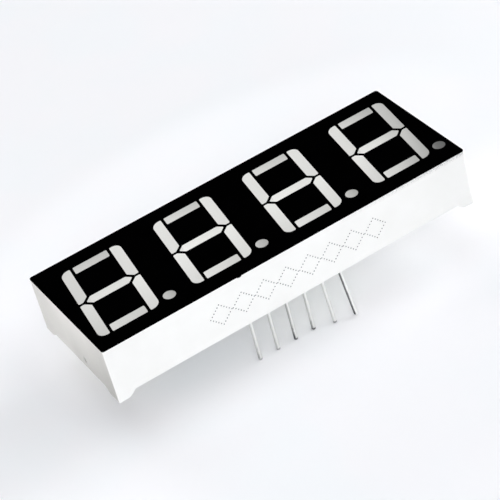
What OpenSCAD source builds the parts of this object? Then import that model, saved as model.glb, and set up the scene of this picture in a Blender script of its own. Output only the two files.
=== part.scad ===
// Four-digit seven-segment LED display module with twelve round leads.
// The origin lies on the seating plane, under the centre of the face: X runs along the module,
// Y towards the tops of the digits and Z up through the face. The leads point down.

/* [Housing] */
// Length of the housing
body_l = 50.3; // [50.2:0.1:62]
// Width of the housing
body_w = 19; // [18.8:0.1:24]
// Depth of the housing, from the lower edge of its walls to its face
body_h = 7; // [6:0.1:10]
// Thickness of the side walls
wall_t = 0.9; // [0.6:0.05:1.1]
// Radius of the upright corners
corner_r = 0.35; // [0.1:0.05:0.8]
// Thickness of the black film on the face
film_t = 0.1; // [0.05:0.01:0.3]
// Diameter of the gate mark on the left end wall
gate_d = 0.6; // [0.3:0.05:1]
// Height of the gate mark's centre above the lower edge of that wall
gate_h = 1.2; // [0.6:0.1:4]
// Depth of the gate mark
gate_depth = 0.25; // [0.05:0.05:0.4]
// Distance of the gate mark from the middle of the end wall
gate_y = -2; // [-5:0.1:5]

/* [Feet] */
// Height of the corner feet under the walls
foot_h = 1; // [0.6:0.1:2]
// Length of a foot's tip along the long wall
foot_l = 1.25; // [0.8:0.05:3]
// Length of a foot's tip along the end wall
foot_w = 1.45; // [0.8:0.05:3]
// Run of a foot's slope along the long wall
slope_l = 1.2; // [0.3:0.1:3]
// Run of a foot's slope along the end wall
slope_w = 1.7; // [0.3:0.1:3]
// Radius of the edges round a foot's tip
foot_r = 0.4; // [0.1:0.05:0.5]

/* [Digits] */
// Height of a digit
digit_h = 14.2; // [11:0.1:15]
// Width of a digit, without its slant
digit_w = 8.14; // [6.5:0.02:8.6]
// Distance from one digit to the next
digit_pitch = 12.7; // [12:0.1:13]
// Lean of the digits from the upright, in degrees
slant = 8; // [0:0.5:10]
// Width of the upright segments
upright_w = 1.34; // [0.9:0.02:1.8]
// Width of the level segments
bar_w = 1.38; // [0.9:0.02:1.8]
// Gap between neighbouring segments
segment_gap = 0.4; // [0.2:0.01:0.5]
// Length of the bevels where the upright segments meet the middle bar
bevel = 0.93; // [0.5:0.01:1.2]
// Radius of a digit's four outer corners
digit_r = 1; // [0.3:0.05:1.2]
// Radius of the other corners of the segments
segment_r = 0.15; // [0.05:0.01:0.2]
// Diameter of the decimal points
dot_d = 1.56; // [1:0.02:1.8]
// Distance of a decimal point's centre from its digit's centre line
dot_x = 4.65; // [4.4:0.05:5]
// Distance of a decimal point's centre below the digit's centre
dot_y = 6.3; // [5:0.1:6.8]

/* [Light cavities] */
// Depth of the light cavities, from the face to the plate's underside
cavity_h = 4.4; // [3:0.1:4.6]
// Size of a cavity at the board, as a share of its window
cavity_taper = 0.72; // [0.6:0.01:0.95]

/* [Circuit board] */
// Thickness of the circuit board
board_t = 1; // [0.8:0.1:1.2]
// Gap round the edge of the board
board_gap = 0.2; // [0.1:0.05:0.4]
// Height of the pads that the board seats on
pad_h = 0.2; // [0.1:0.05:0.4]
// Diameter of those pads
pad_d = 1.2; // [0.8:0.1:1.6]
// Distance of the pads from the board's centre line
pad_y = 3; // [1:0.5:5]
// Depth of resin over the back of the board
resin_t = 1; // [0.8:0.1:1.2]
// Height that the resin creeps up each lead
lead_creep = 0.4; // [0.3:0.05:0.5]
// Height that the resin creeps up the walls
wall_creep = 0.2; // [0.1:0.05:0.3]
// Width of the rim where it creeps up the walls
creep_w = 0.45; // [0.2:0.05:0.6]

/* [Light emitting dice] */
// Side of a die
die_s = 0.28; // [0.2:0.02:0.4]
// Height of a die
die_h = 0.2; // [0.1:0.02:0.25]
// Diameter of a bond wire
wire_d = 0.04; // [0.03:0.005:0.06]
// Reach of a bond wire from its die to its pad
wire_reach = 0.5; // [0.36:0.02:0.6]

/* [Leads] */
// Diameter of a lead
lead_d = 0.5; // [0.4:0.02:0.6]
// Distance between neighbouring leads
lead_pitch = 2.54; // [1.8:0.01:3]
// Distance between the two rows of leads
row_pitch = 15.24; // [14:0.01:15.4]
// Length of a lead below the seating plane
lead_l = 6.2; // [2.5:0.1:12]
// Radius round the end of a lead
tip_r = 0.12; // [0.05:0.01:0.15]
// Width of the flattened shank that grips the board
shank_w = 0.6; // [0.5:0.02:0.7]
// Thickness of the flattened shank
shank_t = 0.36; // [0.3:0.02:0.38]
// Clearance round the shank's corners in its hole
hole_gap = 0.05; // [0.03:0.01:0.1]
// Width of a solder fillet outside its hole
fillet_w = 0.3; // [0.2:0.02:0.35]
// Height of a solder fillet on the back of the board
fillet_h = 0.6; // [0.4:0.05:0.7]
// Outward lean of leads 1 to 12, in degrees, with two of the front row splayed
lead_lean = [0, 0, 0, 0, 8, 16, 0, 0, 0, 0, 0, 0]; // [0:1:20]
// Length of a splayed lead that stays straight where it leaves the resin
lead_root = 0.6; // [0.4:0.1:1]
// Radius of a splayed lead's bend
bend_r = 0.8; // [0.5:0.1:2]

/* [Hidden] */
digits = 4;
leads = 12;
segment_names = ["a", "b", "c", "d", "e", "f", "g", "dp"];
upright_segments = [1, 2, 4, 5];
dot = 7;

// Facets of a full circle, and steps of a rounded corner on either side of the wide radius
$fn = 48;
wide_r = 0.5;
wide_steps = 6;
tight_steps = 3;

// Run of each cut past the surface that it opens
overrun = 1;

// Heights above the seating plane
edge_z = foot_h;
face_z = foot_h + body_h;
shell_z = face_z - film_t;
plate_z = face_z - cavity_h;
board_z = plate_z - pad_h;
solder_z = board_z - board_t;
resin_z = solder_z - resin_t;
root_z = resin_z - lead_creep;

// Sizes that follow from the ones above
pocket_l = body_l - 2 * wall_t;
pocket_w = body_w - 2 * wall_t;
board_l = pocket_l - 2 * board_gap;
board_w = pocket_w - 2 * board_gap;
shank_d = norm([shank_w, shank_t]);
hole_d = shank_d + 2 * hole_gap;
collar_r = hole_d / 2 + lead_creep;
per_row = leads / 2;
wire_bend = wire_reach / 2;

// Half sizes of a digit, before its slant
half_h = digit_h / 2;
half_w = digit_w / 2;
inner_x = half_w - upright_w;
inner_y = half_h - bar_w;
joint_x = inner_x + bevel;

function digit_x(d) = (d - (digits + 1) / 2) * digit_pitch;

// Leads 1 to 6 run along the front row, and 7 to 12 come back along the rear one
function lead_x(i) = ((i <= per_row ? i : leads + 1 - i) - (per_row + 1) / 2) * lead_pitch;
function lead_side(i) = i <= per_row ? -1 : 1;

// Turns the corners of an outline into arcs, of one radius or of a radius each
function unit(v) = v / norm(v);
function rounded(points, radii) = [
    for (i = [0:len(points) - 1])
        let (
            corner = points[i],
            radius = is_list(radii) ? radii[i] : radii,
            to_last = unit(points[(i + len(points) - 1) % len(points)] - corner),
            to_next = unit(points[(i + 1) % len(points)] - corner),
            half_angle = acos(to_last * to_next) / 2,
            centre = corner + unit(to_last + to_next) * radius / sin(half_angle),
            first = corner + to_last * radius / tan(half_angle) - centre,
            turn = 180 - 2 * half_angle,
            way = sign(cross(corner - points[(i + len(points) - 1) % len(points)], to_next)),
            steps = radius == 0 ? 0 : radius > wide_r ? wide_steps : tight_steps
        )
        for (k = [0:steps])
            let (angle = way * turn * k / max(steps, 1))
            centre + [
                first.x * cos(angle) - first.y * sin(angle),
                first.x * sin(angle) + first.y * cos(angle)
            ]
];

// One upright segment, to the upper right of the digit's centre
upright = rounded(
    [
        [inner_x, half_h],
        [inner_x, bevel],
        [joint_x - segment_gap / 2, segment_gap / 2],
        [half_w, segment_gap / 2],
        [half_w, half_h]
    ],
    [segment_r, segment_r, segment_r, segment_r, digit_r]
);

// The level segment at the top of the digit
bar_l = inner_x - segment_gap;
top_bar = rounded(
    [[-bar_l, inner_y], [bar_l, inner_y], [bar_l, half_h], [-bar_l, half_h]],
    segment_r
);

// The middle bar, with pointed ends that run beside the bevels
point_x = joint_x - segment_gap * sqrt(2);
shoulder_x = point_x - bar_w / 2;
middle_bar = rounded(
    [
        [-shoulder_x, -bar_w / 2],
        [shoulder_x, -bar_w / 2],
        [point_x, 0],
        [shoulder_x, bar_w / 2],
        [-shoulder_x, bar_w / 2],
        [-point_x, 0]
    ],
    segment_r
);

// The outline of each segment, mirrored into its place in the digit
outlines = [
    [top_bar, [1, 1]],
    [upright, [1, 1]],
    [upright, [1, -1]],
    [top_bar, [1, -1]],
    [upright, [-1, -1]],
    [upright, [-1, 1]],
    [middle_bar, [1, 1]]
];
function slanted(p) = [p.x + p.y * tan(slant), p.y];
function outline(s) = [
    for (p = outlines[s][0]) slanted([p.x * outlines[s][1].x, p.y * outlines[s][1].y])
];

// The middle of each segment, where its die sits, and the direction that its bond wire runs in
middles = [
    [0, half_h - bar_w / 2],
    [half_w - upright_w / 2, half_h / 2],
    [half_w - upright_w / 2, -half_h / 2],
    [0, -half_h + bar_w / 2],
    [-half_w + upright_w / 2, -half_h / 2],
    [-half_w + upright_w / 2, half_h / 2],
    [0, 0]
];
function middle(s) = s == dot ? [dot_x, -dot_y] : slanted(middles[s]);
function wire_turn(s) = search(s, upright_segments) == [] ? 0 : 90 - slant;

// One light cavity of a digit, narrowing from its window down to the board
module cavity(s) {
    translate([middle(s).x, middle(s).y, face_z])
        mirror([0, 0, 1])
            if (s == dot)
                cylinder(h = cavity_h, d1 = dot_d, d2 = dot_d * cavity_taper);
            else
                linear_extrude(height = cavity_h, scale = cavity_taper)
                    polygon([for (p = outline(s)) p - middle(s)]);
}

module all_cavities() {
    for (d = [1:digits])
        translate([digit_x(d), 0, 0])
            for (s = [0:dot]) cavity(s);
}

// A block with rounded upright corners, centred on the origin
module block(length, width, height, radius) {
    linear_extrude(height = height)
        union() {
            square([length - 2 * radius, width], center = true);
            square([length, width - 2 * radius], center = true);
            for (x = [-1, 1], y = [-1, 1])
                translate([x * (length / 2 - radius), y * (width / 2 - radius)])
                    circle(r = radius);
        }
}

// The side view of a wall: its lower edge rises between the feet, whose edges are rounded
module wall_outline(length, tip, slope) {
    half = length / 2;
    polygon(rounded(
        [
            [-half, 0],
            [-half + tip, 0],
            [-half + tip + slope, edge_z],
            [half - tip - slope, edge_z],
            [half - tip, 0],
            [half, 0],
            [half, shell_z],
            [-half, shell_z]
        ],
        [foot_r, foot_r, foot_r, foot_r, foot_r, foot_r, 0, 0]
    ));
}

module pads() {
    for (x = [-1, 0, 1], y = [-1, 1])
        translate([x * digit_pitch, y * pad_y, board_z])
            cylinder(h = pad_h, d = pad_d);
}

// White reflector shell: the light cavities above, the pocket for the board below
module housing() {
    color("white")
        difference() {
            intersection() {
                block(body_l, body_w, shell_z, corner_r);
                rotate([90, 0, 0])
                    linear_extrude(height = body_w + 2 * overrun, center = true)
                        wall_outline(body_l, foot_l, slope_l);
                rotate([90, 0, 90])
                    linear_extrude(height = body_l + 2 * overrun, center = true)
                        wall_outline(body_w, foot_w, slope_w);
            }
            difference() {
                translate([0, 0, -overrun])
                    block(pocket_l, pocket_w, plate_z + overrun, corner_r);
                pads();
            }
            all_cavities();
            translate([-body_l / 2, gate_y, edge_z + gate_h])
                rotate([0, 90, 0])
                    cylinder(h = 2 * gate_depth, d = gate_d, center = true);
        }
}

// Black film on the face, open at every window
module face_film() {
    color("black")
        difference() {
            translate([0, 0, shell_z])
                block(body_l, body_w, film_t, corner_r);
            all_cavities();
        }
}

// The flattened shank of a lead, from where it leaves the resin to just above the board
module shank(i) {
    translate([lead_x(i), lead_side(i) * row_pitch / 2, root_z])
        linear_extrude(height = board_z + pad_h / 2 - root_z)
            square([shank_w, shank_t], center = true);
}

module circuit_board() {
    color("darkseagreen")
        difference() {
            translate([0, 0, solder_z])
                linear_extrude(height = board_t)
                    square([board_l, board_w], center = true);
            for (i = [1:leads])
                translate([lead_x(i), lead_side(i) * row_pitch / 2, solder_z - overrun])
                    cylinder(h = board_t + 2 * overrun, d = hole_d);
        }
}

// Solder fills a hole round its shank and flares out on the back of the board
module solder(i) {
    difference() {
        translate([lead_x(i), lead_side(i) * row_pitch / 2, 0])
            rotate_extrude()
                polygon([
                    [0, board_z],
                    [0, solder_z - fillet_h],
                    [shank_d / 2, solder_z - fillet_h],
                    [hole_d / 2 + fillet_w, solder_z],
                    [hole_d / 2, solder_z],
                    [hole_d / 2, board_z]
                ]);
        shank(i);
    }
}

module solder_joints() {
    color("lightgray")
        for (i = [1:leads]) solder(i);
}

// A round lead that hangs down from the origin, with a rounded end
module lead_wire(length) {
    translate([0, 0, -length])
        rotate_extrude()
            union() {
                translate([0, tip_r])
                    square([lead_d / 2, length - tip_r]);
                square([lead_d / 2 - tip_r, tip_r]);
                translate([lead_d / 2 - tip_r, tip_r])
                    intersection() {
                        circle(r = tip_r);
                        translate([0, -tip_r])
                            square(tip_r);
                    }
            }
}

// A tinned lead: a splayed one stays straight at its root, bends outwards and runs on at its lean
module lead(i) {
    lean = lead_lean[i - 1];
    total = root_z + lead_l;
    color("silver") {
        shank(i);
        translate([lead_x(i), lead_side(i) * row_pitch / 2, root_z])
            mirror([0, lead_side(i) > 0 ? 1 : 0, 0])
                if (lean == 0) {
                    lead_wire(total);
                } else {
                    translate([0, 0, -lead_root])
                        cylinder(h = lead_root, d = lead_d);
                    translate([0, -bend_r, -lead_root]) {
                        rotate([-90, 0, 90])
                            rotate_extrude(angle = lean)
                                translate([bend_r, 0])
                                    circle(d = lead_d);
                        rotate([-lean, 0, 0])
                            translate([0, bend_r, 0])
                                lead_wire(total - lead_root - bend_r * lean * PI / 180);
                    }
                }
    }
}

module led_die(d, s) {
    color("gold")
        translate([digit_x(d) + middle(s).x, middle(s).y, board_z + die_h / 2])
            cube([die_s, die_s, die_h], center = true);
}

// A bond wire rises from the top of its die, bends over and lands on the board
module bond_wire(d, s) {
    translate([digit_x(d) + middle(s).x, middle(s).y, board_z])
        rotate([0, 0, wire_turn(s)]) {
            translate([wire_bend, 0, die_h])
                rotate([90, 0, 0])
                    rotate_extrude(angle = 180)
                        translate([wire_bend, 0])
                            circle(d = wire_d);
            translate([wire_reach, 0, 0])
                cylinder(h = die_h, d = wire_d);
        }
}

module bond_wires(d) {
    color("goldenrod")
        for (s = [0:dot]) bond_wire(d, s);
}

// Resin that creeps up a lead, hollow like the mouth of a trumpet
module lead_collar(i) {
    translate([lead_x(i), lead_side(i) * row_pitch / 2, root_z])
        rotate_extrude()
            difference() {
                square([collar_r, lead_creep]);
                translate([collar_r, 0])
                    circle(r = lead_creep);
            }
}

// The side view of the hollow behind the resin, which narrows where the resin creeps up the walls
module dish_outline(length) {
    half = length / 2 - creep_w;
    run = creep_w * (lead_creep + overrun) / wall_creep;
    polygon([
        [-half, resin_z],
        [half, resin_z],
        [half + run, root_z - overrun],
        [-half - run, root_z - overrun]
    ]);
}

module resin_back() {
    difference() {
        translate([0, 0, root_z])
            block(pocket_l, pocket_w, plate_z - root_z, corner_r);
        difference() {
            intersection() {
                rotate([90, 0, 0])
                    linear_extrude(height = pocket_w + 2 * overrun, center = true)
                        dish_outline(pocket_l);
                rotate([90, 0, 90])
                    linear_extrude(height = pocket_l + 2 * overrun, center = true)
                        dish_outline(pocket_w);
            }
            for (i = [1:leads]) lead_collar(i);
        }
    }
}

// Clear resin fills the cavities to the face and seals the board in its pocket
module resin_fill() {
    color("whitesmoke")
        difference() {
            union() {
                all_cavities();
                resin_back();
            }
            pads();
            translate([0, 0, solder_z])
                linear_extrude(height = board_t)
                    square([board_l, board_w], center = true);
            for (i = [1:leads]) {
                shank(i);
                solder(i);
            }
            for (d = [1:digits], s = [0:dot]) {
                led_die(d, s);
                bond_wire(d, s);
            }
        }
}

housing();
face_film();
resin_fill();
circuit_board();
solder_joints();
for (i = [1:leads])
    lead(i);
for (d = [1:digits]) {
    for (s = [0:dot])
        led_die(d, s);
    bond_wires(d);
}
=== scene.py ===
import math

import bmesh
import bpy
from mathutils import Matrix, Quaternion, Vector


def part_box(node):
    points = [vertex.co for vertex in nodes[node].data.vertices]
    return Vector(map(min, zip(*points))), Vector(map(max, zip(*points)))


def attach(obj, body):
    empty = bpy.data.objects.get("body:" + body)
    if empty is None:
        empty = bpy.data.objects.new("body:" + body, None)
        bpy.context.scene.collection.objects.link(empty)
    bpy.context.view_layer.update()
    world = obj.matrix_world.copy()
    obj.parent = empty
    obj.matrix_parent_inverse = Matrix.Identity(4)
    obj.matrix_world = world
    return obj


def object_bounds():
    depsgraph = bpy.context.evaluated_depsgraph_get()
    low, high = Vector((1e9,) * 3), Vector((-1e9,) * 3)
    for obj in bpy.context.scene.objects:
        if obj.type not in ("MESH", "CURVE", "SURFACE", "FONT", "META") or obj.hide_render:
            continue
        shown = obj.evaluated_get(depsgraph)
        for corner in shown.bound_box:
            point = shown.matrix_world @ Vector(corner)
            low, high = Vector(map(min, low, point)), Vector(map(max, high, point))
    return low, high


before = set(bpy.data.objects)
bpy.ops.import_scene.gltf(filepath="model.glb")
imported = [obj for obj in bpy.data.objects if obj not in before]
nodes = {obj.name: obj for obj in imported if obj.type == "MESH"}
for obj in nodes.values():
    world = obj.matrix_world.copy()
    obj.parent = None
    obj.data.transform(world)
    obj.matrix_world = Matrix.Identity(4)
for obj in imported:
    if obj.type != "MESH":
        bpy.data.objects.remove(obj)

mm = 0.001
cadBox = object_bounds()
scene = bpy.context.scene


def nodeCentre(name):
    low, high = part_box(name)
    return (low + high) / 2


# one shader node, with its sockets set to values or linked to other sockets
def addNode(tree, kind, inputs=None, **settings):
    node = tree.nodes.new(kind)
    for name, value in settings.items():
        setattr(node, name, value)
    for name, value in (inputs or {}).items():
        if isinstance(value, bpy.types.NodeSocket):
            tree.links.new(value, node.inputs[name])
        else:
            node.inputs[name].default_value = value
    return node


def calc(tree, operation, a, b=0.0, c=0.0, clamp=False):
    node = addNode(tree, "ShaderNodeMath", {0: a, 1: b, 2: c}, operation=operation, use_clamp=clamp)
    return node.outputs[0]


# value runs from fromLow..fromHigh to toLow..toHigh
def remap(tree, value, fromLow, fromHigh, toLow=0.0, toHigh=1.0, smooth=False):
    node = addNode(tree, "ShaderNodeMapRange", {"Value": value, "From Min": fromLow, "From Max": fromHigh,
                                                "To Min": toLow, "To Max": toHigh})
    node.interpolation_type = "SMOOTHSTEP" if smooth else "LINEAR"
    return node.outputs["Result"]


def mixColour(tree, share, first, second, blend="MIX"):
    node = addNode(tree, "ShaderNodeMix", data_type="RGBA", blend_type=blend)
    sockets = {s.identifier: s for s in node.inputs}
    for key, value in (("Factor_Float", share), ("A_Color", first), ("B_Color", second)):
        if isinstance(value, bpy.types.NodeSocket):
            tree.links.new(value, sockets[key])
        else:
            sockets[key].default_value = value
    return next(s for s in node.outputs if s.identifier == "Result_Color")


def multiply(tree, first, second):
    return mixColour(tree, 1.0, first, second, "MULTIPLY")


def grey(tree, value):
    return addNode(tree, "ShaderNodeCombineColor", {"Red": value, "Green": value, "Blue": value}).outputs[0]


# size is the width of a spot, in metres
def noise(tree, place, size, detail=2.0, roughness=0.5):
    return addNode(tree, "ShaderNodeTexNoise", {"Vector": place, "Scale": 1 / size, "Detail": detail,
                                                "Roughness": roughness}).outputs["Fac"]


# most of a noise's values lie between 0.3 and 0.7, which are stretched here to low..high
def spread(tree, value, low=0.0, high=1.0):
    return remap(tree, value, 0.3, 0.7, low, high)


def bump(tree, height, distance):
    return addNode(tree, "ShaderNodeBump", {"Height": height, "Distance": distance}).outputs["Normal"]


# value of a curve through the stops, at the given share of its length
def ramp(tree, share, stops, between="LINEAR"):
    node = addNode(tree, "ShaderNodeValToRGB", {"Fac": share})
    node.color_ramp.interpolation = between
    elements = node.color_ramp.elements
    while len(elements) < len(stops):
        elements.new(0.5)
    for element, (position, value) in zip(elements, stops):
        element.position = position
        element.color = (value, value, value, 1)
    return node.outputs["Color"]


# a named material with its shader and the place on the object
def newMaterial(name):
    material = bpy.data.materials.new(name)
    material.use_nodes = True
    tree = material.node_tree
    place = addNode(tree, "ShaderNodeTexCoord").outputs["Object"]
    return material, tree, tree.nodes["Principled BSDF"], place


def splitAxes(tree, vector):
    return addNode(tree, "ShaderNodeSeparateXYZ", {0: vector}).outputs


def vectorMath(tree, operation, a, b, output="Vector"):
    return addNode(tree, "ShaderNodeVectorMath", {0: a, 1: b}, operation=operation).outputs[output]


def setShader(shader, **values):
    for name, value in values.items():
        shader.inputs[name.replace("_", " ")].default_value = value


def linkShader(tree, shader, **sockets):
    for name, socket in sockets.items():
        tree.links.new(socket, shader.inputs[name.replace("_", " ")])


# gives the material to every node whose name starts so
def paint(start, material):
    for name in nodes:
        if name.startswith(start):
            slots = nodes[name].data.materials
            slots.clear()
            slots.append(material)


# the moulded white reflector shell, with painted shade: its ends darken towards the corners and the lower
# edge, its front towards the right, and round the pit of the mould's gate it is darker; its front also has
# black overspray below the film
housingLook = {
    "light": (0.935, 0.926, 0.908, 1),
    "shade": (0.91, 0.90, 0.88, 1),
    "cloudSize": 4 * mm,
    "cloudRange": (0.35, 0.65),
    "grainSize": 0.12 * mm,
    "grainDepth": 0.004 * mm,
    "roughness": (0.42, 0.55),
    # painted share of light from the front corner to the back one: at the top of an end wall, and lost by
    # its foot
    "endShadeTones": ((0.08, 0.80), (0.18, 0.89), (0.29, 0.975), (0.50, 1.0),
                 (0.60, 0.995), (0.71, 0.95), (0.82, 0.90), (0.92, 0.88)),
    "endFootShade": ((0.08, 0.24), (0.18, 0.30), (0.29, 0.33), (0.50, 0.30),
                  (0.60, 0.19), (0.71, 0.13), (0.82, 0.07)),
    "endShadeTint": (1.0, 0.985, 0.955, 1),
    # painted shade along the front wall, from its left end to its right
    "frontShadeTones": ((0.04, 0.97), (0.25, 0.99), (0.40, 0.99), (0.76, 0.975), (0.86, 0.965), (0.96, 0.925)),
    "wallSkin": 0.05 * mm,                # how near a wall's plane a point counts as on it
    "footHeight": 1 * mm,
    "specks": (0.25, 0.25, 0.25, 1),
    "speckSize": 0.11 * mm,
    "speckRange": (0.45, 0.6),
    "speckReach": 0.7 * mm,
    "speckStart": 6 * mm,
    "pit": (-2 * mm, 2.2 * mm),           # along the end wall, and up from the feet
    "pitFade": (0.72 * mm, 0.18 * mm),    # from its middle: where the painted shade begins, and where it is full
    "pitShade": (0.55, 0.54, 0.51, 1),
}


# the painted share of light on a wall: the end walls and the front wall have their own runs of painted shade
def wallShade(tree, axes, onFront):
    look = housingLook
    (left, front, low), (right, back, high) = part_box("housing")
    onEnd = calc(tree, "GREATER_THAN", calc(tree, "ABSOLUTE", axes["X"]), right - look["wallSkin"])
    alongEnd = remap(tree, axes["Y"], front, back)
    down = remap(tree, axes["Z"], high, low + look["footHeight"])
    endTone = calc(tree, "SUBTRACT", ramp(tree, alongEnd, look["endShadeTones"]),
                   calc(tree, "MULTIPLY", ramp(tree, alongEnd, look["endFootShade"]), down))
    endShade = multiply(tree, grey(tree, endTone), look["endShadeTint"])
    frontShade = ramp(tree, remap(tree, axes["X"], left, right), look["frontShadeTones"])
    return mixColour(tree, onFront, mixColour(tree, onEnd, (1, 1, 1, 1), endShade), frontShade)


# how much overspray lies on the front wall: more towards the film and towards the right
def overspray(tree, place, axes, onFront):
    look = housingLook
    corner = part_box("housing")[1]
    below = remap(tree, axes["Z"], corner.z - look["speckReach"], corner.z, smooth=True)
    sideways = remap(tree, axes["X"], look["speckStart"], corner.x)
    speck = remap(tree, noise(tree, place, look["speckSize"], 2, 0.7), *look["speckRange"])
    cover = calc(tree, "MULTIPLY", calc(tree, "MULTIPLY", below, sideways), onFront)
    return calc(tree, "MULTIPLY", cover, speck)


def whitePlastic():
    look = housingLook
    material, tree, shader, place = newMaterial("moulded white plastic")
    axes = splitAxes(tree, place)
    left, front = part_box("housing")[0].xy
    onFront = calc(tree, "LESS_THAN", axes["Y"], front + look["wallSkin"])
    cloud = noise(tree, place, look["cloudSize"], 3)
    grain = noise(tree, place, look["grainSize"], 2)
    colour = mixColour(tree, remap(tree, cloud, *look["cloudRange"]), look["shade"], look["light"])
    # painted shade on the end walls and along the front wall
    colour = multiply(tree, colour, wallShade(tree, axes, onFront))
    colour = mixColour(tree, overspray(tree, place, axes, onFront), colour, look["specks"])
    # painted shade round the pit of the mould's gate
    fromPit = vectorMath(tree, "DISTANCE", place, (left, *look["pit"]), "Value")
    inPit = remap(tree, fromPit, *look["pitFade"], smooth=True)
    colour = mixColour(tree, inPit, colour, look["pitShade"])
    linkShader(tree, shader, Base_Color=colour,
               Roughness=spread(tree, grain, *look["roughness"]),
               Normal=bump(tree, grain, look["grainDepth"]))
    setShader(shader, Specular_IOR_Level=0.35)
    return material


# the dead matt black film on the face
filmLook = {
    "ink": (0.0001, 0.0001, 0.0001, 1),
    "worn": (0.0006, 0.0006, 0.0007, 1),
    "roughness": (0.8, 0.95),
    "patchSize": 2.5 * mm,
    "grainSize": 0.06 * mm,
    "grainDepth": 0.002 * mm,
}


def blackFilm():
    look = filmLook
    material, tree, shader, place = newMaterial("matt black film")
    patch = noise(tree, place, look["patchSize"], 4)
    grain = noise(tree, place, look["grainSize"], 2)
    linkShader(tree, shader, Base_Color=mixColour(tree, patch, look["ink"], look["worn"]),
               Roughness=spread(tree, patch, *look["roughness"]),
               Normal=bump(tree, grain, look["grainDepth"]))
    setShader(shader, Specular_IOR_Level=0.0)
    return material


# the cloudy resin: each window has its own painted run of light and shade, standing for the cavity behind it
resinLook = {
    "tint": (1.0, 0.989, 0.948, 1),
    "halfHeight": 7.1 * mm,          # half of a digit
    "halfBar": 2.4 * mm,             # half of its bars d, g and a
    "uprightStart": 2.55 * mm,       # from the middle of the digit to its uprights
    "dotRadius": 0.8 * mm,
    "dotMargin": 0.05 * mm,
    # painted light and shade from the digit's foot to its head: the uprights, the left ends of the bars d, g
    # and a, and what each bar loses by its right end
    "uprightTones": ((0.0, 0.60), (0.47, 0.755), (0.53, 0.65), (1.0, 0.695)),
    "barStart": ((0.0, 0.68), (0.5, 0.785), (1.0, 0.60)),
    "barFall": ((0.0, 0.165), (0.5, 0.093), (1.0, 0.15)),
    # painted shade across the dots, from their left edge to their right
    "dotTones": (0.485, 0.335),
    # painted share of light along the module, which falls off in the windows at both ends
    "sideTones": ((0.04, 0.80), (0.13, 0.89), (0.24, 0.98), (0.35, 1.0), (0.77, 1.0),
                  (0.865, 0.89), (0.93, 0.68), (0.95, 0.57), (0.975, 0.23)),
    "sideReach": 26 * mm,
    "sideLean": 0.2,
    "mottleSize": 0.16 * mm,
    "mottleRange": (0.25, 0.75),
    "mottle": 0.05,
    "rippleSize": 0.5 * mm,
    "rippleDepth": 0.01 * mm,
    # the sealing layer over the back, cloudier, with small bubbles
    "backTop": 5 * mm,
    "backTones": (0.64, 0.76),
    "cloudSize": 5 * mm,
    "cloudRange": (0.35, 0.65),
    "bubblePitch": 1.6 * mm,
    "bubbleRadius": 0.13 * mm,
    "bubbleCore": 0.6,               # share of the radius inside which a bubble is fully dark
    "bubbleTone": (0.5, 0.5, 0.5, 1),
}


# the painted light and shade of the windows, from the place within the digit, which all four digits share
def paintedWindowShade(tree, axes):
    look = resinLook
    first, second, head = nodeCentre("led_die_1g"), nodeCentre("led_die_2g"), nodeCentre("led_die_1a")
    dotPlace = nodeCentre("led_die_1dp")
    pitch = second.x - first.x
    lean = (head.x - first.x) / (head.y - first.y)

    # x within the digit, then with its slant taken out
    cell = calc(tree, "FRACT", calc(tree, "MULTIPLY_ADD", axes["X"], 1 / pitch, 0.5 - first.x / pitch))
    x = calc(tree, "MULTIPLY", calc(tree, "SUBTRACT", cell, 0.5), pitch)
    upright = calc(tree, "SUBTRACT", x, calc(tree, "MULTIPLY", axes["Y"], lean))
    height = remap(tree, axes["Y"], -look["halfHeight"], look["halfHeight"])
    along = remap(tree, upright, -look["halfBar"], look["halfBar"])

    bars = calc(tree, "SUBTRACT", ramp(tree, height, look["barStart"]),
                calc(tree, "MULTIPLY", ramp(tree, height, look["barFall"]), along))
    isUpright = calc(tree, "GREATER_THAN", calc(tree, "ABSOLUTE", upright), look["uprightStart"])
    tone = mixColour(tree, isUpright, grey(tree, bars), ramp(tree, height, look["uprightTones"]))
    dotX = dotPlace.x - first.x - dotPlace.y * lean
    dot = remap(tree, upright, dotX - look["dotRadius"], dotX + look["dotRadius"], *look["dotTones"])
    isDot = calc(tree, "GREATER_THAN", upright, dotX - look["dotRadius"] - look["dotMargin"])
    tone = mixColour(tree, isDot, tone, grey(tree, dot))

    # painted shade: the windows at both ends of the module are darker
    side = calc(tree, "SUBTRACT", axes["X"], calc(tree, "MULTIPLY", axes["Y"], look["sideLean"]))
    sideTone = ramp(tree, remap(tree, side, -look["sideReach"], look["sideReach"]), look["sideTones"])
    return multiply(tree, tone, sideTone)


def backTone(tree, place):
    look = resinLook
    cloud = remap(tree, noise(tree, place, look["cloudSize"], 3), *look["cloudRange"],
                  *look["backTones"], smooth=True)
    bubbles = addNode(tree, "ShaderNodeTexVoronoi", {"Vector": place, "Scale": 1 / look["bubblePitch"]})
    reach = look["bubbleRadius"] / look["bubblePitch"]
    inBubble = remap(tree, bubbles.outputs["Distance"], reach, reach * look["bubbleCore"], smooth=True)
    return mixColour(tree, inBubble, grey(tree, cloud), look["bubbleTone"])


def cloudyResin():
    look = resinLook
    material, tree, shader, place = newMaterial("cloudy cast resin")
    axes = splitAxes(tree, place)
    inWindow = calc(tree, "GREATER_THAN", axes["Z"], look["backTop"])
    tone = mixColour(tree, inWindow, backTone(tree, place), paintedWindowShade(tree, axes))
    mottle = remap(tree, noise(tree, place, look["mottleSize"], 3, 0.6), *look["mottleRange"],
                   1 - look["mottle"], 1 + look["mottle"])
    tone = multiply(tree, tone, grey(tree, mottle))
    ripple = noise(tree, place, look["rippleSize"], 2)
    linkShader(tree, shader, Base_Color=multiply(tree, tone, look["tint"]),
               Normal=bump(tree, ripple, look["rippleDepth"]))
    setShader(shader, Roughness=0.38, Specular_IOR_Level=0.25)
    return material
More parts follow.
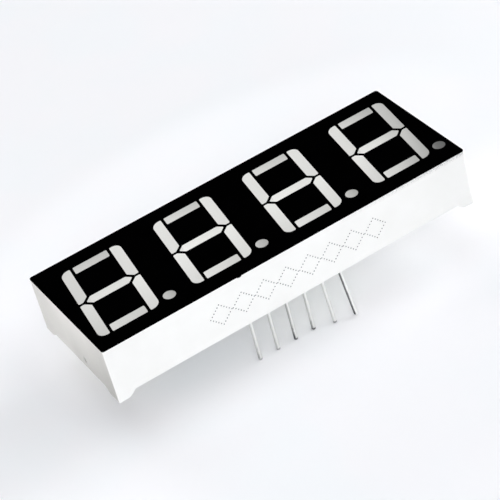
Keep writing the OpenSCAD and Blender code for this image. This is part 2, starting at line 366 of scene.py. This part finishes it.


# tinned wire: bright, with painted shade and a painted dark reflection along its left side and towards its
# foot, and a cut end that is partly dull and partly painted shade
leadLook = {
    "tin": (0.90, 0.905, 0.88, 1),
    "streakAndShade": (0.10, 0.10, 0.105, 1),
    # how much painted shade and reflection each lead of a row carries, from the left one to the right one
    "topShares": (0.22, 0.18, 0.46, 0.24, 0.14, 0.85),
    "footShares": (0.52, 0.34, 1.0, 0.62, 0.18, 1.0),
    "tipShares": (0.40, 0.58, 0.85, 0.95, 0.75, 1.0),
    "footHeight": 1.4 * mm,
    "fadeHeight": 2 * mm,                 # above footHeight, with ragged ends
    "tipFade": (0.35 * mm, 0.21 * mm),    # from the cut end: where its darkening begins, and where it is full
    "sideFade": (-0.5, 0.0),              # from the left side with painted shade and reflection to the bright right one
    "sideBlotch": 0.4,
    "blotchSize": 0.5 * mm,
    "streakWidth": 0.06 * mm,
    "streakLength": 2.5 * mm,
    "streakShare": 0.12,
    "streakDepth": 0.004 * mm,
    "roughness": (0.25, 0.4),
}


def tinnedWire():
    look = leadLook
    material, tree, shader, place = newMaterial("tinned wire")
    axes = splitAxes(tree, place)
    stretch = look["streakWidth"] / look["streakLength"]
    streak = noise(tree, vectorMath(tree, "MULTIPLY", place, (1, 1, stretch)), look["streakWidth"], 3)
    blotch = noise(tree, place, look["blotchSize"], 3)
    facing = splitAxes(tree, addNode(tree, "ShaderNodeNewGeometry").outputs["Normal"])["X"]
    leftSide = remap(tree, calc(tree, "MULTIPLY_ADD", blotch, look["sideBlotch"], facing),
                     *look["sideFade"], 1, 0, smooth=True)

    # each lead has its own shares, in its own stretch of the row
    count = len(look["topShares"])
    firstLead, lastLead = nodeCentre("lead_1").x, nodeCentre(f"lead_{count}").x
    step = (lastLead - firstLead) / (count - 1)
    alongRow = remap(tree, axes["X"], firstLead - step / 2, lastLead + step / 2)
    top, foot, tip = [ramp(tree, alongRow, [(k / count, share) for k, share in enumerate(look[key])],
                           "CONSTANT")
                      for key in ("topShares", "footShares", "tipShares")]
    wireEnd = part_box("lead_1")[0].z
    footEnd = wireEnd + look["footHeight"]
    nearFoot = remap(tree, calc(tree, "MULTIPLY_ADD", blotch, look["fadeHeight"], axes["Z"]),
                     footEnd + look["fadeHeight"], footEnd, smooth=True)
    nearTip = remap(tree, axes["Z"], *[wireEnd + height for height in look["tipFade"]])
    # painted shade and reflection on each lead: its left side, its foot and its cut end
    share = calc(tree, "MULTIPLY", mixColour(tree, nearFoot, top, foot), leftSide)
    dull = mixColour(tree, nearTip, share, tip)
    dull = calc(tree, "MULTIPLY_ADD", streak, look["streakShare"], dull, clamp=True)
    linkShader(tree, shader, Base_Color=mixColour(tree, dull, look["tin"], look["streakAndShade"]),
               Roughness=spread(tree, streak, *look["roughness"]),
               Normal=bump(tree, streak, look["streakDepth"]))
    setShader(shader, Metallic=1.0)
    return material


# solder, rippled where it set, with a little dross
solderLook = {
    "colour": (0.74, 0.75, 0.77, 1),
    "dross": (0.55, 0.55, 0.56, 1),
    "rippleSize": 0.2 * mm,
    "rippleDepth": 0.01 * mm,
    "roughness": (0.15, 0.3),
}


def solderMetal():
    look = solderLook
    material, tree, shader, place = newMaterial("bright solder")
    ripple = noise(tree, place, look["rippleSize"], 2)
    linkShader(tree, shader, Base_Color=mixColour(tree, ripple, look["colour"], look["dross"]),
               Roughness=spread(tree, ripple, *look["roughness"]),
               Normal=bump(tree, ripple, look["rippleDepth"]))
    setShader(shader, Metallic=1.0)
    return material


# glass laminate: two crossed sets of threads under a green lacquer
boardLook = {
    "lacquer": (0.10, 0.26, 0.12, 1),
    "thread": (0.16, 0.34, 0.17, 1),
    "threadPitch": 0.4 * mm,
    "threadDepth": 0.01 * mm,
}


def glassLaminate():
    look = boardLook
    material, tree, shader, place = newMaterial("glass laminate")
    axes = splitAxes(tree, place)
    turns = 2 * math.pi / look["threadPitch"]
    warp = calc(tree, "SINE", calc(tree, "MULTIPLY", axes["X"], turns))
    weft = calc(tree, "SINE", calc(tree, "MULTIPLY", axes["Y"], turns))
    weave = remap(tree, calc(tree, "MULTIPLY", warp, weft), -1, 1)
    linkShader(tree, shader, Base_Color=mixColour(tree, weave, look["lacquer"], look["thread"]),
               Normal=bump(tree, weave, look["threadDepth"]))
    setShader(shader, Roughness=0.35)
    return material


# the cut faces of the light emitting dice
dieLook = {
    "crystal": (0.62, 0.30, 0.10, 1),
    "edge": (0.35, 0.15, 0.06, 1),
    "facetSize": 0.08 * mm,
    "roughness": (0.1, 0.25),
}


def dieCrystal():
    look = dieLook
    material, tree, shader, place = newMaterial("polished crystal")
    facet = noise(tree, place, look["facetSize"], 1)
    linkShader(tree, shader, Base_Color=mixColour(tree, facet, look["edge"], look["crystal"]),
               Roughness=spread(tree, facet, *look["roughness"]))
    return material


# fine drawn gold wire
wireLook = {
    "gold": (0.86, 0.62, 0.25, 1),
    "dark": (0.60, 0.40, 0.14, 1),
    "drawnSize": 0.02 * mm,
    "roughness": (0.15, 0.35),
}


def goldWire():
    look = wireLook
    material, tree, shader, place = newMaterial("gold wire")
    drawn = noise(tree, place, look["drawnSize"], 1)
    linkShader(tree, shader, Base_Color=mixColour(tree, drawn, look["dark"], look["gold"]),
               Roughness=spread(tree, drawn, *look["roughness"]))
    setShader(shader, Metallic=1.0)
    return material


filmMaterial = blackFilm()
paint("housing", whitePlastic())
paint("face_film", filmMaterial)
paint("resin_fill", cloudyResin())
paint("circuit_board", glassLaminate())
paint("solder_joints", solderMetal())
paint("lead_", tinnedWire())
paint("led_die_", dieCrystal())
paint("bond_wires_", goldWire())
print("finishes: done on", len(nodes), "nodes")


def newObject(name, mesh, material):
    data = bpy.data.meshes.new(name)
    mesh.to_mesh(data)
    mesh.free()
    data.materials.append(material)
    thing = bpy.data.objects.new(name, data)
    scene.collection.objects.link(thing)
    return thing


def newPiece(name, mesh, material):
    piece = newObject(name, mesh, material)
    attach(piece, "root")


# a row of dotted diamonds, printed on the front wall
printLook = {
    "left": -10.2 * mm, "right": 11.4 * mm, "height": 4.3 * mm,
    "diamonds": 8, "steps": 5,
    "dotPitch": 0.29 * mm, "dotRadius": 0.08 * mm, "dotSides": 12, "thickness": 0.004 * mm,
    "ink": (0.02, 0.02, 0.03, 1), "faint": (0.24, 0.24, 0.26, 1), "faintSize": 0.7 * mm,
}


def printerInk():
    look = printLook
    material, tree, shader, place = newMaterial("printer ink")
    patch = spread(tree, noise(tree, place, look["faintSize"], 2))
    linkShader(tree, shader, Base_Color=mixColour(tree, patch, look["ink"], look["faint"]))
    setShader(shader, Roughness=0.6)
    return material


# a flat round dot on the front wall, whose plane is at y = wall
def printDot(mesh, x, wall, z):
    look = printLook
    turn = Matrix.Rotation(math.pi / 2, 4, "X")
    shift = Matrix.Translation((x, wall - look["thickness"] / 2, z))
    bmesh.ops.create_cone(mesh, cap_ends=True, segments=look["dotSides"], depth=look["thickness"],
                          radius1=look["dotRadius"], radius2=look["dotRadius"], matrix=shift @ turn)


def printedRow():
    look = printLook
    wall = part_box("housing")[0].y
    mesh = bmesh.new()
    between = (look["right"] - look["left"]) / (look["diamonds"] - 1)
    steps = look["steps"]
    for k in range(look["diamonds"]):
        for i in range(-steps, steps + 1):
            x = look["left"] + k * between + i * look["dotPitch"]
            rise = (steps - abs(i)) * look["dotPitch"]
            # one dot at a side point of the diamond, and elsewhere one below and one above
            for z in sorted({look["height"] - rise, look["height"] + rise}):
                printDot(mesh, x, wall, z)
    newPiece("printedRow", mesh, printerInk())


printedRow()
print("print: a row of dotted diamonds on the front wall")


# a little of the film has run over the front edge
filmRunLook = {
    "x": -6.8 * mm, "width": 0.6 * mm, "drop": 0.12 * mm, "thickness": 0.02 * mm,
    "points": 14,
}


def filmRun():
    look = filmRunLook
    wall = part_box("housing")[0].y
    edge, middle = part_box("face_film")[0].z, nodeCentre("face_film").z
    half = look["width"] / 2
    # half an ellipse hangs below the film's edge, and its top lies over the film
    outline = [(half, middle)]
    for j in range(look["points"] + 1):
        a = math.pi * j / look["points"]
        outline.append((half * math.cos(a), edge - look["drop"] * math.sin(a)))
    outline.append((-half, middle))
    mesh = bmesh.new()
    front, back = [[mesh.verts.new((look["x"] + x, y, z)) for x, z in outline]
                   for y in (wall - look["thickness"], wall)]
    mesh.faces.new(front)
    mesh.faces.new(back)
    for j in range(len(outline)):
        k = (j + 1) % len(outline)
        mesh.faces.new((front[j], front[k], back[k], back[j]))
    bmesh.ops.recalc_face_normals(mesh, faces=mesh.faces)
    newPiece("filmRun", mesh, filmMaterial)


filmRun()
print("film: run-over on the front edge")


# the pale floor that the leads stand on, with faint pink and blue clouds, painted pools of light round and
# under the module and a painted shadow under it; a painted warm glow that only the camera sees thins the
# shadow under the left end
floorLook = {
    "size": 1.2,
    "pink": (0.907, 0.900, 0.922, 1),
    "blue": (0.893, 0.902, 0.925, 1),
    "cloudSize": 14 * mm,
    "cloudRange": (0.35, 0.65),
    # each painted patch's centre, half widths and the shares of them between which it fades, and then its
    # gain
    "paintedLightAndShade": (
        (((8 * mm, 25 * mm), (34 * mm, 18 * mm), 0.75, 1.25), (1.07, 1.07, 1.07, 1)),
        (((-8 * mm, -30 * mm), (40 * mm, 18 * mm), 0.75, 1.25), (1.03, 1.03, 1.03, 1)),
        (((-14 * mm, -2 * mm), (9 * mm, 6 * mm), 0.3, 1.4), (0.91, 0.925, 0.93, 1)),
        (((4 * mm, -3 * mm), (8 * mm, 5 * mm), 0.3, 1.4), (1.07, 1.085, 1.07, 1)),
        (((-45 * mm, -4 * mm), (11 * mm, 13 * mm), 0.3, 1.4), (1.06, 1.06, 1.06, 1)),
    ),
    "glowPlace": ((-20.5 * mm, 7 * mm), (6 * mm, 9 * mm), 0.1, 1.6),
    "glow": (1.0, 0.98, 0.88, 1),
    "glowStrength": 0.125,
}


# 1 in the middle of an ellipse on the floor, falling to 0 between the inner and the outer share of its width
def onEllipse(tree, place, centre, halfWidths, inner, outer):
    shift = vectorMath(tree, "SUBTRACT", place, (*centre, 0))
    shares = vectorMath(tree, "MULTIPLY", shift, (1 / halfWidths[0], 1 / halfWidths[1], 0))
    away = vectorMath(tree, "DISTANCE", shares, (0, 0, 0), "Value")
    return remap(tree, away, outer, inner, smooth=True)


def paperFloor():
    look = floorLook
    material, tree, shader, place = newMaterial("pale paper")
    cloud = remap(tree, noise(tree, place, look["cloudSize"], 2), *look["cloudRange"], smooth=True)
    colour = mixColour(tree, cloud, look["pink"], look["blue"])
    # painted light and shade on the floor
    for patch, gain in look["paintedLightAndShade"]:
        colour = mixColour(tree, onEllipse(tree, place, *patch), colour, gain, "MULTIPLY")
    seen = addNode(tree, "ShaderNodeLightPath").outputs["Is Camera Ray"]
    glow = calc(tree, "MULTIPLY", calc(tree, "MULTIPLY", onEllipse(tree, place, *look["glowPlace"]), seen),
                look["glowStrength"])
    linkShader(tree, shader, Base_Color=colour, Emission_Strength=glow)
    setShader(shader, Emission_Color=look["glow"], Roughness=1.0, Specular_IOR_Level=0.0)
    return material


def makeFloor():
    mesh = bmesh.new()
    half = floorLook["size"] / 2
    level = cadBox[0][2]
    corners = ((-half, -half), (half, -half), (half, half), (-half, half))
    mesh.faces.new([mesh.verts.new((x, y, level)) for x, y in corners])
    floor = newObject("floor", mesh, paperFloor())


makeFloor()

# soft studio light from broad boxes all round, and a small lamp close to the left end
white = (1, 1, 1)
coolWhite = (0.93, 0.97, 1.0)
warmWhite = (1.0, 0.985, 0.96)
lights = {
    # azimuth, elevation, distance, size, watts, colour
    "rightBox": (90, 25, 0.7, 0.5, 3.2, white),
    "backBox": (180, 10, 1.4, 1.0, 10.8, white),
    "highBackBox": (180, 45, 0.7, 0.5, 0.93, white),
    "frontLeftBox": (337, 25, 0.7, 0.5, 2.35, coolWhite),
    "highFrontBox": (0, 45, 1.4, 1.0, 3.35, white),
    "highRightBox": (45, 45, 1.4, 1.0, 3.4, white),
    "topBox": (0, 89, 1.4, 1.0, 3.5, coolWhite),
    "leftLamp": (270, 10, 0.13, 0.06, 0.022, warmWhite),
}


def around(target, azimuth, elevation, distance):
    a, e = math.radians(azimuth), math.radians(elevation)
    return target + distance * Vector((math.sin(a) * math.cos(e), -math.cos(a) * math.cos(e), math.sin(e)))


def makeLight(name, azimuth, elevation, distance, size, watts, colour):
    lamp = bpy.data.lights.new(name, "AREA")
    lamp.shape = "DISK"
    lamp.size = size
    lamp.energy = watts
    lamp.color = colour
    holder = bpy.data.objects.new(name, lamp)
    scene.collection.objects.link(holder)
    holder.location = around(Vector(), azimuth, elevation, distance)
    holder.rotation_euler = (-holder.location).to_track_quat("-Z", "Y").to_euler()


for name, plan in lights.items():
    makeLight(name, *plan)

# the room lights the object dimly, and looks pale to the camera and in reflections
room = {"colour": (0.97, 0.975, 1.0, 1), "strength": 0.01, "seen": 0.95}


def paleRoom():
    world = bpy.data.worlds.new("pale room")
    world.use_nodes = True
    tree = world.node_tree
    rays = addNode(tree, "ShaderNodeLightPath").outputs
    seen = calc(tree, "MAXIMUM", calc(tree, "MAXIMUM", rays["Is Camera Ray"], rays["Is Glossy Ray"]),
                rays["Is Transmission Ray"])
    strength = remap(tree, seen, 0, 1, room["strength"], room["seen"])
    background = tree.nodes["Background"]
    background.inputs["Color"].default_value = room["colour"]
    tree.links.new(strength, background.inputs["Strength"])
    scene.world = world


paleRoom()
print("stage: floor, lamps and room")

# the camera looks down on the face from the front left, with the module climbing to the right
cameraPlan = {
    "target": (-1.33 * mm, -1.24 * mm, 4.0 * mm),
    "azimuth": -21.74,
    "elevation": 36.29,
    "roll": 15.79,
    "distance": 265.1 * mm,
    "lens": 160.5,
    "sensor": 36,
    "clipStart": 10 * mm,
}


def makeCamera(plan):
    data = bpy.data.cameras.new("camera")
    data.lens = plan["lens"]
    data.sensor_width = plan["sensor"]
    data.clip_start = plan["clipStart"]
    camera = bpy.data.objects.new("camera", data)
    scene.collection.objects.link(camera)
    target = Vector(plan["target"])
    camera.location = around(target, plan["azimuth"], plan["elevation"], plan["distance"])
    aim = (target - camera.location).to_track_quat("-Z", "Y")
    camera.rotation_mode = "QUATERNION"
    camera.rotation_quaternion = aim @ Quaternion((0, 0, 1), math.radians(-plan["roll"]))
    scene.camera = camera


makeCamera(cameraPlan)
scene.view_settings.view_transform = "Standard"
print("camera: set")
